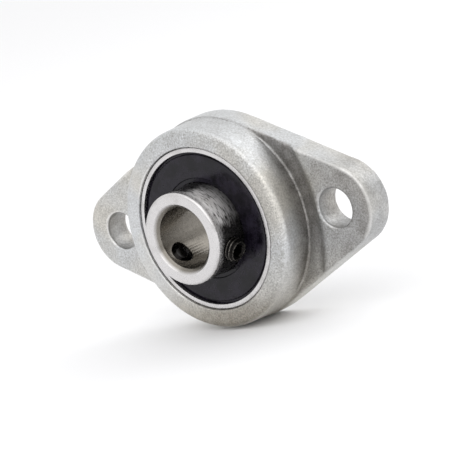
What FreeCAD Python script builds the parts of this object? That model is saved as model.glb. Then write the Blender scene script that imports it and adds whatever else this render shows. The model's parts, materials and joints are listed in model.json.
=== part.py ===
"""Two-bolt flanged bearing with a sealed, self-aligning ball bearing insert.

Frame, in millimetres with +Z up: the origin is on the bore axis, in the plane of the
mounting face. The front of the bearing faces -Y and its two bolt holes lie along X.
The insert's pieces are drawn about the middle of the spherical seat and placed there.
"""
import FreeCAD
import Part
import Sketcher
import math
import os
import re
from FreeCAD import Placement, Rotation, Vector

# Driving dimensions: lengths in millimetres, angles in degrees.
SIZES = {
    # Flange of the housing
    "bolt_spacing": 37.0,
    "bolt_hole_diameter": 5.0,
    "bolt_hole_edge": 0.27,
    "ear_radius": 5.5,
    "flange_width": 27.2,
    "flange_thickness": 3.85,
    "flange_edge_round": 0.35,
    "flange_draft": 0.5,
    "pad_rim": 0.65,
    "relief_depth": 0.5,
    "relief_radius": 23.5,
    # Boss of the housing
    "boss_diameter": 26.7,
    "boss_height": 7.95,
    "boss_edge_round": 0.9,
    "boss_draft": 2.5,
    # Spherical seat in the boss
    "seat_height": 4.4,
    "seat_clearance": 0.035,
    "seat_mouth_chamfer": 0.2,
    "loading_slot_clearance": 0.15,
    # Outer ring
    "outer_sphere_diameter": 22.2,
    "outer_corner": 0.18,
    "outer_face_width": 0.45,
    "outer_race_depth": 0.8,
    # Seals
    "seal_groove_depth": 0.15,
    "seal_recess": 0.28,
    "seal_thickness": 0.5,
    "lip_width": 0.55,
    "lip_thickness": 0.22,
    "lip_recess": 0.18,
    "lip_clearance": 0.05,
    # Inner ring
    "bore_diameter": 8.0,
    "bore_chamfer": 0.6,
    "inner_diameter": 12.0,
    "inner_edge_round": 0.35,
    "collar_reach": 7.75,
    "inner_rear_reach": 3.75,
    "inner_race_depth": 0.5,
    "tapped_hole_chamfer": 0.25,
    # Balls and raceways
    "ball_count": 7,
    "ball_diameter": 3.969,
    "race_relief": 0.075,
    "race_clearance": 0.02,
    # Ribbon cage and its rivets
    "cage_thickness": 0.25,
    "cage_width": 1.8,
    "cage_end_gap": 0.2,
    "pocket_clearance": 0.04,
    "rivet_diameter": 0.8,
    "rivet_head_diameter": 1.3,
    "rivet_head_height": 0.3,
    # Set screws
    "screw_diameter": 3.0,
    "screw_length": 3.0,
    "screw_clearance": 0.04,
    "screw_edge": 0.2,
    "screw_tip_gap": 0.05,
    "screw_reach": 4.95,
    "screw_angle": -24.0,
    "screw_spacing": -120.0,
    "socket_width": 1.5,
    "socket_depth": 1.4,
    "cup_diameter": 1.5,
    "cup_depth": 0.35,
}

# Depth of the flange between its pads, where the boss stands on it
RELIEF_FLOOR = "(flange_thickness - relief_depth)"

# Ball circle and raceways, outwards from the inner ring
BALL_RADIUS = "(ball_diameter / 2)"
INNER_RACE = "(inner_diameter / 2 - inner_race_depth)"
PITCH = f"({INNER_RACE} + race_clearance + {BALL_RADIUS})"
OUTER_RACE = f"({PITCH} + {BALL_RADIUS} + race_clearance)"
RACE_RADIUS = f"({BALL_RADIUS} + race_relief)"

# Depths from the middle of the insert: cage dome, seal and outer ring face
POCKET_RADIUS = f"({BALL_RADIUS} + pocket_clearance)"
DOME_RADIUS = f"({POCKET_RADIUS} + cage_thickness)"
SEAL_SEAT = f"({DOME_RADIUS} + cage_end_gap)"
SEAL_FACE = f"({SEAL_SEAT} + seal_thickness)"
OUTER_HALF = f"({SEAL_FACE} + seal_recess)"

# Radii of the outer ring's end, inwards from its sphere
SPHERE = "(outer_sphere_diameter / 2)"
SEAT_RADIUS = f"({SPHERE} + seat_clearance)"
OUTER_SHOULDER = f"sqrt({SPHERE} ^ 2 - ({OUTER_HALF} - outer_corner) ^ 2)"
SEAL_WINDOW = f"({OUTER_SHOULDER} - outer_corner - outer_face_width)"
SEAL_GROOVE = f"({SEAL_WINDOW} + seal_groove_depth)"

# Set screws, from the bore axis outwards
SCREW_TIP = "(bore_diameter / 2 + screw_tip_gap)"
SCREW_COUNT = 2

doc = FreeCAD.newDocument("flanged_bearing")


def make_sheet():
    """Write every driving dimension to the sheet, with its name as the cell's alias."""
    sheet = doc.addObject("Spreadsheet::Sheet", "Sizes")
    for row, (name, value) in enumerate(SIZES.items(), start=1):
        sheet.set(f"A{row}", name)
        sheet.set(f"B{row}", str(value))
        sheet.setAlias(f"B{row}", name)
    doc.recompute()
    return sheet


def formula(text):
    """Turn the size names in a formula into references to the sheet's cells."""
    return re.sub(r"[a-z_]+", lambda m: f"Sizes.{m[0]}" if m[0] in SIZES else m[0], text)


def bind(thing, path, text):
    """Bind a property of an object to a formula of the sheet."""
    thing.setExpression(path, formula(text))


def value(text):
    """Work out a formula of the sheet as a number."""
    return float(sheet.evalExpression(formula(text)))


def new_body(label):
    """Start the body of one sub-part."""
    body = doc.addObject("PartDesign::Body", label)
    body.Label = label
    return body


def origin_feature(body, role):
    """Find one of a body's own origin planes or axes."""
    return next(feature for feature in body.Origin.OriginFeatures if feature.Role == role)


def new_sketch(body, name, role):
    """Start a sketch on one of the body's origin planes."""
    sketch = body.newObject("Sketcher::SketchObject", name)
    sketch.AttachmentSupport = [(origin_feature(body, role), "")]
    sketch.MapMode = "FlatFace"
    return sketch


def fix(sketch, kind, places, text):
    """Add a dimension to a sketch and bind it to a formula."""
    index = sketch.addConstraint(Sketcher.Constraint(kind, *places, value(text)))
    name = f"{kind}_{index}"
    sketch.renameConstraint(index, name)
    bind(sketch, f"Constraints.{name}", text)


def fix_point(sketch, edge, end, x, y):
    """Hold a point of a sketch at two formulas, or on an axis where one is zero."""
    for kind, axis, text in (("DistanceX", -2, x), ("DistanceY", -1, y)):
        if text == "0":
            sketch.addConstraint(Sketcher.Constraint("PointOnObject", edge, end, axis))
        else:
            fix(sketch, kind, (-1, 1, edge, end), text)


def arc_between(start, stop, radius):
    """An arc from start to stop: its centre is left of the way there if radius is positive."""
    chord = stop - start
    left = Vector(-chord.y, chord.x, 0).normalize()
    rise = math.sqrt(max(radius**2 - (chord.Length / 2) ** 2, 0.0))
    centre = (start + stop) / 2 + left * math.copysign(rise, radius)
    ends = (start, stop) if radius > 0 else (stop, start)
    angles = [math.atan2((end - centre).y, (end - centre).x) for end in ends]
    circle = Part.Circle(centre, Vector(0, 0, 1), abs(radius))
    return Part.ArcOfCircle(circle, *angles)


def draw_outline(sketch, corners):
    """Draw a closed outline through corners (x, y) given as formulas.

    A third formula makes the edge to the next corner an arc of that radius, with its
    centre on the left, and a fourth entry of True puts the centre on the right.
    """
    points = [Vector(value(corner[0]), value(corner[1]), 0) for corner in corners]
    ends = []
    for index, corner in enumerate(corners):
        start = points[index]
        stop = points[(index + 1) % len(points)]
        right_handed = len(corner) > 3
        if len(corner) == 2:
            edge = sketch.addGeometry(Part.LineSegment(start, stop))
        else:
            radius = value(corner[2])
            edge = sketch.addGeometry(arc_between(start, stop, -radius if right_handed else radius))
        ends.append((edge, 2, 1) if right_handed else (edge, 1, 2))
    for index, (edge, _, last) in enumerate(ends):
        following = ends[(index + 1) % len(ends)]
        sketch.addConstraint(Sketcher.Constraint("Coincident", edge, last, following[0], following[1]))
    for (edge, first, _), corner in zip(ends, corners):
        fix_point(sketch, edge, first, corner[0], corner[1])
        if len(corner) > 2:
            fix(sketch, "Radius", (edge,), corner[2])


def draw_circle(sketch, x, y, radius):
    """Draw a circle whose centre and radius are formulas."""
    centre = Vector(value(x), value(y), 0)
    edge = sketch.addGeometry(Part.Circle(centre, Vector(0, 0, 1), value(radius)))
    fix_point(sketch, edge, 3, x, y)
    fix(sketch, "Radius", (edge,), radius)


def revolve(body, name, sketch, kind="PartDesign::Revolution"):
    """Turn a sketch a full turn about its own vertical axis, to add or to cut."""
    feature = body.newObject(kind, name)
    feature.Profile = sketch
    feature.ReferenceAxis = (sketch, ["V_Axis"])
    feature.Angle = 360.0
    sketch.Visibility = False
    return feature


def pattern_round_bore(body, name, original, count):
    """Repeat a feature evenly round the bore axis."""
    pattern = body.newObject("PartDesign::PolarPattern", name)
    pattern.Originals = [original]
    pattern.Axis = (origin_feature(body, "Y_Axis"), [""])
    pattern.Angle = 360.0
    bind(pattern, "Occurrences", count)
    body.Tip = pattern
    return pattern


def is_circle(edge, radius):
    """Whether an edge is a circle, or part of one, of a radius given as a formula."""
    return edge.Curve.TypeId == "Part::GeomCircle" and abs(edge.Curve.Radius - value(radius)) < 1e-6


def edges_of(feature, wanted):
    """Name the edges of a feature's shape that pass a test."""
    return [f"Edge{n}" for n, edge in enumerate(feature.Shape.Edges, start=1) if wanted(edge)]


def place_at_seat(thing):
    """Put the middle of a sub-part at the middle of the spherical seat."""
    bind(thing, "Placement.Base.y", "-seat_height")


def flange_outline(sketch):
    """Draw the flange's outline: two round ears and straight webs that run past the boss."""
    web = "(flange_width / 2)"
    lean = f"acos(({web} - ear_radius) / (bolt_spacing / 2))"
    web_x = f"{web} * cos({lean})"
    web_z = f"{web} * sin({lean})"
    ear_x = f"(bolt_spacing / 2 + ear_radius * cos({lean}))"
    ear_z = f"ear_radius * sin({lean})"
    draw_outline(
        sketch,
        [
            (ear_x, f"-{ear_z}", "ear_radius"),
            (ear_x, ear_z),
            (web_x, web_z, web),
            (f"-{web_x}", web_z),
            (f"-{ear_x}", ear_z, "ear_radius"),
            (f"-{ear_x}", f"-{ear_z}"),
            (f"-{web_x}", f"-{web_z}", web),
            (web_x, f"-{web_z}"),
        ],
    )


def make_flange(body):
    """Pad the drafted flange, sink the relief inside each ear's pad and round the edges."""
    outline = new_sketch(body, "flange_outline", "XZ_Plane")
    flange_outline(outline)
    flange = body.newObject("PartDesign::Pad", "flange")
    flange.Profile = outline
    bind(flange, "Length", "flange_thickness")
    bind(flange, "TaperAngle", "-flange_draft")

    lens = new_sketch(body, "relief_outline", "XZ_Plane")
    bind(lens, "AttachmentOffset.Base.z", "flange_thickness")
    pad_edge = "(bolt_spacing / 2 - bolt_hole_diameter / 2 - pad_rim)"
    tip = f"sqrt(relief_radius ^ 2 - (relief_radius - {pad_edge}) ^ 2)"
    draw_outline(lens, [("0", f"-{tip}", "relief_radius"), ("0", tip, "relief_radius")])
    relief = body.newObject("PartDesign::Pocket", "relief")
    relief.Profile = lens
    bind(relief, "Length", "relief_depth")
    doc.recompute()

    def convex(edge):
        depths = {round(-vertex.Y, 6) for vertex in edge.Vertexes}
        pad_foot = is_circle(edge, "relief_radius")
        on_pad = depths == {round(value("flange_thickness"), 6)}
        on_floor = depths == {round(value(RELIEF_FLOOR), 6)}
        return on_pad or (on_floor and not pad_foot)

    edges = body.newObject("PartDesign::Fillet", "flange_edges")
    edges.Base = (relief, edges_of(relief, convex))
    bind(edges, "Radius", "flange_edge_round")


def make_boss(body):
    """Turn the boss, with its draft and its rounded front edge, through the flange."""
    profile = new_sketch(body, "boss_profile", "XY_Plane")
    foot = "boss_diameter / 2"
    flank_end = "(boss_height - boss_edge_round * (1 - sin(boss_draft)))"
    flank_end_x = f"({foot} - ({flank_end} - {RELIEF_FLOOR}) * tan(boss_draft))"
    draw_outline(
        profile,
        [
            ("0", "0"),
            ("0", "-boss_height"),
            (f"({flank_end_x} - boss_edge_round * cos(boss_draft))", "-boss_height", "boss_edge_round"),
            (flank_end_x, f"-{flank_end}"),
            (foot, f"-{RELIEF_FLOOR}"),
            (foot, "0"),
        ],
    )
    revolve(body, "boss", profile)


def make_seat(body):
    """Cut the spherical seat, its chamfered mouth and the slots that load the insert."""
    profile = new_sketch(body, "seat_profile", "XY_Plane")
    rear = f"sqrt({SEAT_RADIUS} ^ 2 - seat_height ^ 2)"
    mouth_depth = "(boss_height - seat_mouth_chamfer)"
    mouth = f"sqrt({SEAT_RADIUS} ^ 2 - ({mouth_depth} - seat_height) ^ 2)"
    draw_outline(
        profile,
        [
            ("0", "0"),
            ("0", "-boss_height"),
            (f"({mouth} + seat_mouth_chamfer)", "-boss_height"),
            (mouth, f"-{mouth_depth}", SEAT_RADIUS),
            (rear, "0"),
        ],
    )
    revolve(body, "seat", profile, "PartDesign::Groove")

    outline = new_sketch(body, "loading_slot_outline", "XZ_Plane")
    half = f"({OUTER_HALF} + loading_slot_clearance)"
    end = f"sqrt({SEAT_RADIUS} ^ 2 - {half} ^ 2)"
    draw_outline(
        outline,
        [
            (end, f"-{half}", SEAT_RADIUS),
            (end, half),
            (f"-{end}", half, SEAT_RADIUS),
            (f"-{end}", f"-{half}"),
        ],
    )
    slots = body.newObject("PartDesign::Pocket", "loading_slots")
    slots.Profile = outline
    slots.Reversed = True
    bind(slots, "Length", "seat_height")


def make_bolt_holes(body):
    """Cut a bolt hole through each ear and round both of its rims."""
    circles = new_sketch(body, "bolt_hole_circles", "XZ_Plane")
    for side in ("", "-"):
        draw_circle(circles, f"{side}bolt_spacing / 2", "0", "bolt_hole_diameter / 2")
    holes = body.newObject("PartDesign::Pocket", "bolt_holes")
    holes.Profile = circles
    holes.Reversed = True
    holes.Type = "ThroughAll"
    doc.recompute()
    rims = body.newObject("PartDesign::Fillet", "bolt_hole_rims")
    rims.Base = (holes, edges_of(holes, lambda edge: is_circle(edge, "bolt_hole_diameter / 2")))
    bind(rims, "Radius", "bolt_hole_edge")


def make_housing():
    """Cast housing: flange, boss, spherical seat and bolt holes."""
    body = new_body("housing")
    make_flange(body)
    make_boss(body)
    make_seat(body)
    make_bolt_holes(body)
    return body


def make_outer_ring():
    """Outer ring: spherical outside, a ball groove inside and a snap groove for each seal."""
    body = new_body("outer_ring")
    profile = new_sketch(body, "outer_ring_profile", "XY_Plane")
    land = f"({OUTER_RACE} - outer_race_depth)"
    race_half = f"sqrt({RACE_RADIUS} ^ 2 - ({RACE_RADIUS} - outer_race_depth) ^ 2)"
    corner = f"({OUTER_HALF} - outer_corner)"
    face = f"({OUTER_SHOULDER} - outer_corner)"
    draw_outline(
        profile,
        [
            (land, f"-{race_half}", RACE_RADIUS),
            (land, race_half),
            (land, SEAL_SEAT),
            (SEAL_GROOVE, SEAL_SEAT),
            (SEAL_GROOVE, SEAL_FACE),
            (SEAL_WINDOW, SEAL_FACE),
            (SEAL_WINDOW, OUTER_HALF),
            (face, OUTER_HALF),
            (OUTER_SHOULDER, corner, SPHERE, True),
            (OUTER_SHOULDER, f"-{corner}"),
            (face, f"-{OUTER_HALF}"),
            (SEAL_WINDOW, f"-{OUTER_HALF}"),
            (SEAL_WINDOW, f"-{SEAL_FACE}"),
            (SEAL_GROOVE, f"-{SEAL_FACE}"),
            (SEAL_GROOVE, f"-{SEAL_SEAT}"),
            (land, f"-{SEAL_SEAT}"),
        ],
    )
    revolve(body, "outer_ring_turned", profile)
    place_at_seat(body)
    return body


def make_seal(label, turn):
    """Moulded rubber seal: a flat disc held by its rim, with a thin lip at the inner ring."""
    body = new_body(label)
    profile = new_sketch(body, f"{label}_profile", "XY_Plane")
    lip_edge = "(inner_diameter / 2 + lip_clearance)"
    lip_root = f"({lip_edge} + lip_width)"
    lip_front = f"({SEAL_FACE} - lip_recess)"
    lip_back = f"({lip_front} - lip_thickness)"
    draw_outline(
        profile,
        [
            (SEAL_GROOVE, f"-{SEAL_SEAT}"),
            (SEAL_GROOVE, f"-{SEAL_FACE}"),
            (lip_root, f"-{SEAL_FACE}"),
            (lip_root, f"-{lip_front}"),
            (lip_edge, f"-{lip_front}"),
            (lip_edge, f"-{lip_back}"),
            (lip_root, f"-{lip_back}"),
            (lip_root, f"-{SEAL_SEAT}"),
        ],
    )
    revolve(body, f"{label}_moulded", profile)
    body.Placement = Placement(Vector(), Rotation(Vector(1, 0, 0), turn))
    place_at_seat(body)
    return body


def screw_angle(number):
    """The formula for a set screw's angle round the collar, from +X towards +Z."""
    return f"(screw_angle + screw_spacing * {number})"


def aim_at_screw(thing, number):
    """Turn an object's own Z axis to point outwards along a set screw."""
    thing.Placement = Placement(Vector(), Rotation(Vector(0, 1, 0), 1.0))
    bind(thing, "Placement.Rotation.Angle", f"90 - {screw_angle(number)}")


def tap_collar(body, number):
    """Cut the hole for a set screw through one wall of the collar, with a chamfered rim."""
    hole = body.newObject("PartDesign::SubtractiveCylinder", f"tapped_hole_{number + 1}")
    bind(hole, "Radius", "screw_diameter / 2")
    bind(hole, "Height", "inner_diameter")
    aim_at_screw(hole, number)
    rim = body.newObject("PartDesign::SubtractiveCone", f"tapped_hole_rim_{number + 1}")
    bind(rim, "Radius1", "screw_diameter / 2")
    bind(rim, "Radius2", "screw_diameter / 2 + tapped_hole_chamfer * 2")
    bind(rim, "Height", "tapped_hole_chamfer * 2")
    aim_at_screw(rim, number)
    rim_depth = "(inner_diameter / 2 - tapped_hole_chamfer)"
    bind(rim, "Placement.Base.x", f"{rim_depth} * cos({screw_angle(number)})")
    bind(rim, "Placement.Base.z", f"{rim_depth} * sin({screw_angle(number)})")
    for cut in (hole, rim):
        bind(cut, "Placement.Base.y", "-screw_reach")


def make_inner_ring():
    """Inner ring, long at the front as a collar with two tapped holes for the set screws."""
    body = new_body("inner_ring")
    profile = new_sketch(body, "inner_ring_profile", "XY_Plane")
    outside = "inner_diameter / 2"
    bore = "bore_diameter / 2"
    race_half = f"sqrt({RACE_RADIUS} ^ 2 - ({RACE_RADIUS} - inner_race_depth) ^ 2)"
    rear = "inner_rear_reach"
    draw_outline(
        profile,
        [
            (bore, f"({rear} - bore_chamfer)"),
            (bore, "-(collar_reach - bore_chamfer)"),
            (f"({bore} + bore_chamfer)", "-collar_reach"),
            (f"({outside} - inner_edge_round)", "-collar_reach", "inner_edge_round"),
            (outside, "-(collar_reach - inner_edge_round)"),
            (outside, f"-{race_half}", RACE_RADIUS, True),
            (outside, race_half),
            (outside, f"({rear} - inner_edge_round)", "inner_edge_round"),
            (f"({outside} - inner_edge_round)", rear),
            (f"({bore} + bore_chamfer)", rear),
        ],
    )
    revolve(body, "inner_ring_turned", profile)
    for number in range(SCREW_COUNT):
        tap_collar(body, number)
    place_at_seat(body)
    return body


def make_set_screw(number):
    """Socket set screw with a cup point, drawn along its own Z axis from the bore axis."""
    label = f"set_screw_{number + 1}"
    body = new_body(label)
    profile = new_sketch(body, f"{label}_profile", "XZ_Plane")
    radius = "(screw_diameter / 2 - screw_clearance)"
    head = f"({SCREW_TIP} + screw_length)"
    cup = "cup_diameter / 2"
    draw_outline(
        profile,
        [
            ("0", f"({SCREW_TIP} + cup_depth)"),
            (cup, SCREW_TIP),
            (radius, f"({SCREW_TIP} + {radius} - {cup})"),
            (radius, f"({head} - screw_edge)"),
            (f"({radius} - screw_edge)", head),
            ("0", head),
        ],
    )
    revolve(body, f"{label}_turned", profile)

    hexagon = new_sketch(body, f"{label}_socket_outline", "XY_Plane")
    bind(hexagon, "AttachmentOffset.Base.z", head)
    corner = "socket_width / 2 / cos(30)"
    steps = range(0, 360, 60)
    draw_outline(hexagon, [(f"{corner} * cos({step})", f"{corner} * sin({step})") for step in steps])
    socket = body.newObject("PartDesign::Pocket", f"{label}_socket")
    socket.Profile = hexagon
    bind(socket, "Length", "socket_depth")
    aim_at_screw(body, number)
    bind(body, "Placement.Base.y", "-(seat_height + screw_reach)")
    return body


def place_on_pitch(thing, angle):
    """Place an object on the ball circle, at a formula for its angle from +X towards +Z."""
    bind(thing, "Placement.Base.x", f"{PITCH} * cos({angle})")
    bind(thing, "Placement.Base.z", f"{PITCH} * sin({angle})")


def ball_angle(number):
    """The formula for a ball's angle from +X towards +Z; a half number is between balls."""
    return f"({number} * 360 / ball_count)"


def make_ball(number):
    """One ball on the pitch circle."""
    ball = doc.addObject("Part::Sphere", f"ball_{number + 1}")
    ball.Label = f"ball_{number + 1}"
    bind(ball, "Radius", BALL_RADIUS)
    place_on_pitch(ball, ball_angle(number))
    place_at_seat(ball)
    return ball


def pocket_sphere(body, name, kind, radius):
    """A sphere round each ball, added to the cage or cut from it."""
    sphere = body.newObject(kind, name)
    bind(sphere, "Radius", radius)
    place_on_pitch(sphere, ball_angle(0))
    return pattern_round_bore(body, f"{name}s", sphere, "ball_count")


def make_cage_half(label, turn):
    """Half of the pressed ribbon cage: flat between the balls, domed over each of them."""
    body = new_body(label)
    inside = f"({PITCH} - cage_width / 2)"
    outside = f"({PITCH} + cage_width / 2)"
    ribbon = [(inside, "0"), (outside, "0"), (outside, "cage_thickness"), (inside, "cage_thickness")]
    flat = new_sketch(body, f"{label}_flat_profile", "XY_Plane")
    draw_outline(flat, ribbon)
    revolve(body, f"{label}_flat", flat)
    pocket_sphere(body, f"{label}_dome", "PartDesign::AdditiveSphere", DOME_RADIUS)

    waste = new_sketch(body, f"{label}_trim_profile", "XY_Plane")
    far = f"{PITCH} * 2"
    beyond = f"{DOME_RADIUS} * 2"
    draw_outline(waste, [("0", f"-{beyond}"), (far, f"-{beyond}"), (far, beyond), ("0", beyond)])
    kept = f"{DOME_RADIUS} * 1.5"
    draw_outline(waste, [(inside, "0"), (outside, "0"), (outside, kept), (inside, kept)])
    revolve(body, f"{label}_trim", waste, "PartDesign::Groove")
    pocket_sphere(body, f"{label}_pocket", "PartDesign::SubtractiveSphere", POCKET_RADIUS)

    hole = body.newObject("PartDesign::SubtractiveCylinder", f"{label}_rivet_hole")
    bind(hole, "Radius", "rivet_diameter / 2")
    bind(hole, "Height", "cage_thickness * 2")
    hole.Placement = Placement(Vector(), Rotation(Vector(1, 0, 0), -90))
    place_on_pitch(hole, ball_angle(0.5))
    bind(hole, "Placement.Base.y", "-cage_thickness / 2")
    pattern_round_bore(body, f"{label}_rivet_holes", hole, "ball_count")
    body.Placement = Placement(Vector(), Rotation(Vector(1, 0, 0), turn))
    place_at_seat(body)
    return body


def make_cage_rivet(number):
    """Rivet between two balls, closed over both halves of the cage."""
    label = f"cage_rivet_{number + 1}"
    body = new_body(label)
    profile = new_sketch(body, f"{label}_profile", "XY_Plane")
    shank = "rivet_diameter / 2"
    head = "rivet_head_diameter / 2"
    end = "(cage_thickness + rivet_head_height)"
    draw_outline(
        profile,
        [
            ("0", f"-{end}"),
            (shank, f"-{end}"),
            (head, "-cage_thickness"),
            (shank, "-cage_thickness"),
            (shank, "cage_thickness"),
            (head, "cage_thickness"),
            (shank, end),
            ("0", end),
        ],
    )
    revolve(body, f"{label}_turned", profile)
    place_on_pitch(body, ball_angle(number + 0.5))
    place_at_seat(body)
    return body


def check(parts):
    """Stop if any object failed, or if a sub-part isn't one valid solid."""
    for thing in doc.Objects:
        if {"Invalid", "Error"} & set(thing.State):
            raise RuntimeError(f"{thing.Label} failed: {thing.State}")
    for thing in parts:
        if thing.Shape.isNull() or not thing.Shape.isValid() or len(thing.Shape.Solids) != 1:
            raise RuntimeError(f"{thing.Label} is not one valid solid")


sheet = make_sheet()
parts = [make_housing(), make_outer_ring(), make_inner_ring()]
parts += [make_seal("front_seal", 0), make_seal("rear_seal", 180)]
parts += [make_cage_half("cage_front", 180), make_cage_half("cage_rear", 0)]
for index in range(int(value("ball_count"))):
    parts += [make_ball(index), make_cage_rivet(index)]
parts += [make_set_screw(index) for index in range(SCREW_COUNT)]
doc.recompute()
check(parts)

os.makedirs("parts", exist_ok=True)
for part in parts:
    part.Shape.exportStep(f"parts/{part.Label}.step")
    print(f"{part.Label}: {part.Shape.Volume:.3f} mm3")
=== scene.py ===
"""Dress a two-bolt flanged bearing: cast housing, sealed insert, set screws and a studio stage.

Lengths are metres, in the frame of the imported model: the bore axis is Y, the front of the
bearing faces -Y, the bolt holes lie along X and +Z is up.
"""

import json
import math

import bmesh
import bpy
import numpy as np
from bpy.props import FloatProperty, FloatVectorProperty, IntProperty, PointerProperty
from mathutils import Color, Matrix, Vector, noise


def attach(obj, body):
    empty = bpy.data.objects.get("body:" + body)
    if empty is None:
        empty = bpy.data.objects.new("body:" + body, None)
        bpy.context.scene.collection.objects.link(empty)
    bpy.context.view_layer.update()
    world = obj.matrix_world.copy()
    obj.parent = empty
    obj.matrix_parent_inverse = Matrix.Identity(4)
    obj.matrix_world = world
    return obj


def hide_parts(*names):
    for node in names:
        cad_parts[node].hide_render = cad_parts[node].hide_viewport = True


bl_info = {
    "name": "Flanged Bearing",
    "version": (1, 0, 0),
    "blender": (4, 5, 0),
    "location": "View3D > Sidebar > Bearing",
    "description": "Dresses a two-bolt flanged bearing and sets its studio stage",
    "category": "Object",
}

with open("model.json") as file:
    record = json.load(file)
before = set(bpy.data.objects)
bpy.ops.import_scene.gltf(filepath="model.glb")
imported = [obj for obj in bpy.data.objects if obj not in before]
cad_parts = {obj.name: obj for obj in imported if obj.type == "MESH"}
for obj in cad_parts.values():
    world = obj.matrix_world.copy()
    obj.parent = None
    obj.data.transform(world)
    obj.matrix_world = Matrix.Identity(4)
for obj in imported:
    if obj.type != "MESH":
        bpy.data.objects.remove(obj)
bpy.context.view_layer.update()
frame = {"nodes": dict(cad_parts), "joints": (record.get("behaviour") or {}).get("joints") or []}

MM = 0.001
BALLS, CAGE, SCREWS = (
    sorted(name for name in frame["nodes"] if name.startswith(start))
    for start in ("ball_", "cage_", "set_screw_")
)
JOINTS = {joint["name"]: joint for joint in frame["joints"]}

# Numbers of the colour sockets of Blender's Mix node, which share their names
MIX_A = 6
MIX_B = 7
MIX_COLOUR = 2
COLOUR_MIX = {"output": MIX_COLOUR, "data_type": "RGBA"}

# Distance under which two places are the same, and the digits to which sizes are read off the CAD
SAME_PLACE = 0.001 * MM
CAD_DIGITS = 5

# Steps round and along the pieces that are built from points
FLASH_STEPS = 720
SEAL_STEPS = 192
SCREW_STEPS = 96
SCREW_ROWS = 84
ROUNDING_STEPS = 5

# Angles between faces from which an edge is sharp
CASTING_SHARP = math.radians(35)
RING_SHARP = math.radians(30)
SEAL_SHARP = math.radians(40)
SCREW_SHARP = math.radians(30)

# How far a vertex stands out of its neighbours on a full edge, and passes that even this out
EDGE_REACH = 0.03 * MM
EDGE_PASSES = 2

# Slopes over the casting, each from its start to its end; heights are over the mounting face
STEP_WIDTH = (0.3 * MM, 1.0 * MM)  # off the step, where its softening ends
STEP_HEIGHT = (2.6 * MM, 3.1 * MM)  # heights where the softening starts
STEP_RADIUS = (13.7 * MM, 14.2 * MM)  # radii where the softening starts
FRONT_TILT = (-0.8, -0.3)  # Y of the normals, from facing the front to facing a side
GROOVE_SIDE = (-0.7 * MM, 0.3 * MM)  # past the step, where the groove's film and painted shade end
GROOVE_TOP = (0.3 * MM, 0.6 * MM)  # over the foot of the boss, where that film and painted shade end
GROOVE_LOW = (-8 * MM, 0.0)  # Z, from where that film and painted shade are thin to where they are full
BOSS_SIDE = (0.2 * MM, 0.6 * MM)  # off the side of the boss
FLANK_FOOT = (-0.3 * MM, 0.0)  # over the foot of the boss, where the film and painted shade on the boss start
FLANK_EARS = (0.6, 0.92)  # share of X in the way out from the axis, towards the ears
HOLE_WALL = (0.0, 0.15 * MM)  # off the wall of a bolt hole
EAR_HEIGHT = (4.0 * MM, 4.5 * MM)  # heights where the painted shade on the right ear's pad ends
EAR_REACH = (10 * MM, 22 * MM)  # X, from where that painted shade starts to where it is full
END_REACH = (15 * MM, 22 * MM)  # X, the same for the film and painted shade round the ear's end
RUN_LEVEL = (-13 * MM, -7 * MM)  # Z, from where the front is darkest low on the boss to where that darkening ends
# The grain is thinner on the sides, which paints the top band and the boss's edges lighter
GRAIN_TILT = (0.6, 0.95)  # Y of the normals, from the sides to the front and back
LIT_LEFT_SIDE = (-10 * MM, -2 * MM)  # X, from the left side, painted lighter, to the rest
BOSS_HEIGHT = (4.5 * MM, 6.0 * MM)  # heights where the boss starts
MOUTH_WIDTH = (0.0, 0.13 * MM)  # off the seat's mouth
MOUTH_HEIGHT = (7.6 * MM, 7.75 * MM)  # heights where the painted shadow line in the mouth starts

# Strengths of the film and painted shade where they are thinner than the rest, and of the darkening low on
# the front
HOLE_FILM_AND_SHADE = 0.6
EAR_SHADE = 0.75
LOW_FRONT_DARKENING = 0.75
END_FILM_AND_SHADE = 0.4
FLASH_SHADE = 0.9

# What is left of the film and its painted shade, and of the grain and its painted light, where each is
# thinnest
GROOVE_LEAST = 0.5
FLANK_LEAST = 0.15
GRAIN_LEAST = 0.65

# Shares of the grain, and of the painted shadow line in the mouth, that are left off the left side to paint
# it lighter
LIT_SIDE_GRAIN = 0.12
LIT_BOSS_GRAIN = 0.3
LIT_SIDE_MOUTH = 0.8

# The flash's height as a share of its mean: at the sides, added towards the top, and at least
FLASH_SIDES = 0.55
FLASH_TOP = 0.6
FLASH_LEAST = 0.1
FLASH_SPREAD = 0.3  # share of its width that it reaches past the boss, and again where it is high

# How ragged the flash is, the scale of its lumps, and their fall-off, lacunarity and octaves
FLASH_RAGGED = 1.4
FLASH_LUMPS = 22
FLASH_NOISE = (0.6, 2.0, 4)

# Shares of the corner's radius and of half the outer ring's width outside which a chamfer lies
CHAMFER_RADIUS = 0.97
CHAMFER_WIDTH = 0.9

# A streak of bare steel, on the side where the highlight falls, is a seventh as wide along the collar as it
# is long round it
STREAK_SHAPE = (1.0, 7.0, 1.0)
ACROSS_BORE = (1.0, 0.0, 1.0)

# How much of one pattern is added to another: patches to the grain, streaks to the edges of the
# collar's bare side, where the highlight falls, and scuffs to the grinding lines
PATCH_SHARE = 0.25
STREAK_SHARE = 0.4
SCUFF_SHARE = 0.25

# Roughness added where the casting's edges are burnished, and where the collar's steel is bare
BURNISH = -0.2
BARE_ROUGHNESS = 0.5

# Share of half a pitch that the thread's crest, and its root, are flat
THREAD_FLAT = 0.1

# Bared steel on a set screw, which also paints its highlights: at the thread's crests, over a share of its
# depth, and in a line at the lead-in
CREST_WEAR_AND_HIGHLIGHT = 0.75
CREST_SHARE = 0.3
LEAD_WEAR_AND_HIGHLIGHT = 0.6
WEAR_LINE = 0.1 * MM

# The slope of the socket's lead-in, and the cone that the drill left under the socket, as shares
# of the socket's width
LEAD_SLOPE = math.tan(math.radians(30))
DRILL_RADIUS = 0.4
DRILL_DEPTH = 0.2


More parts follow.
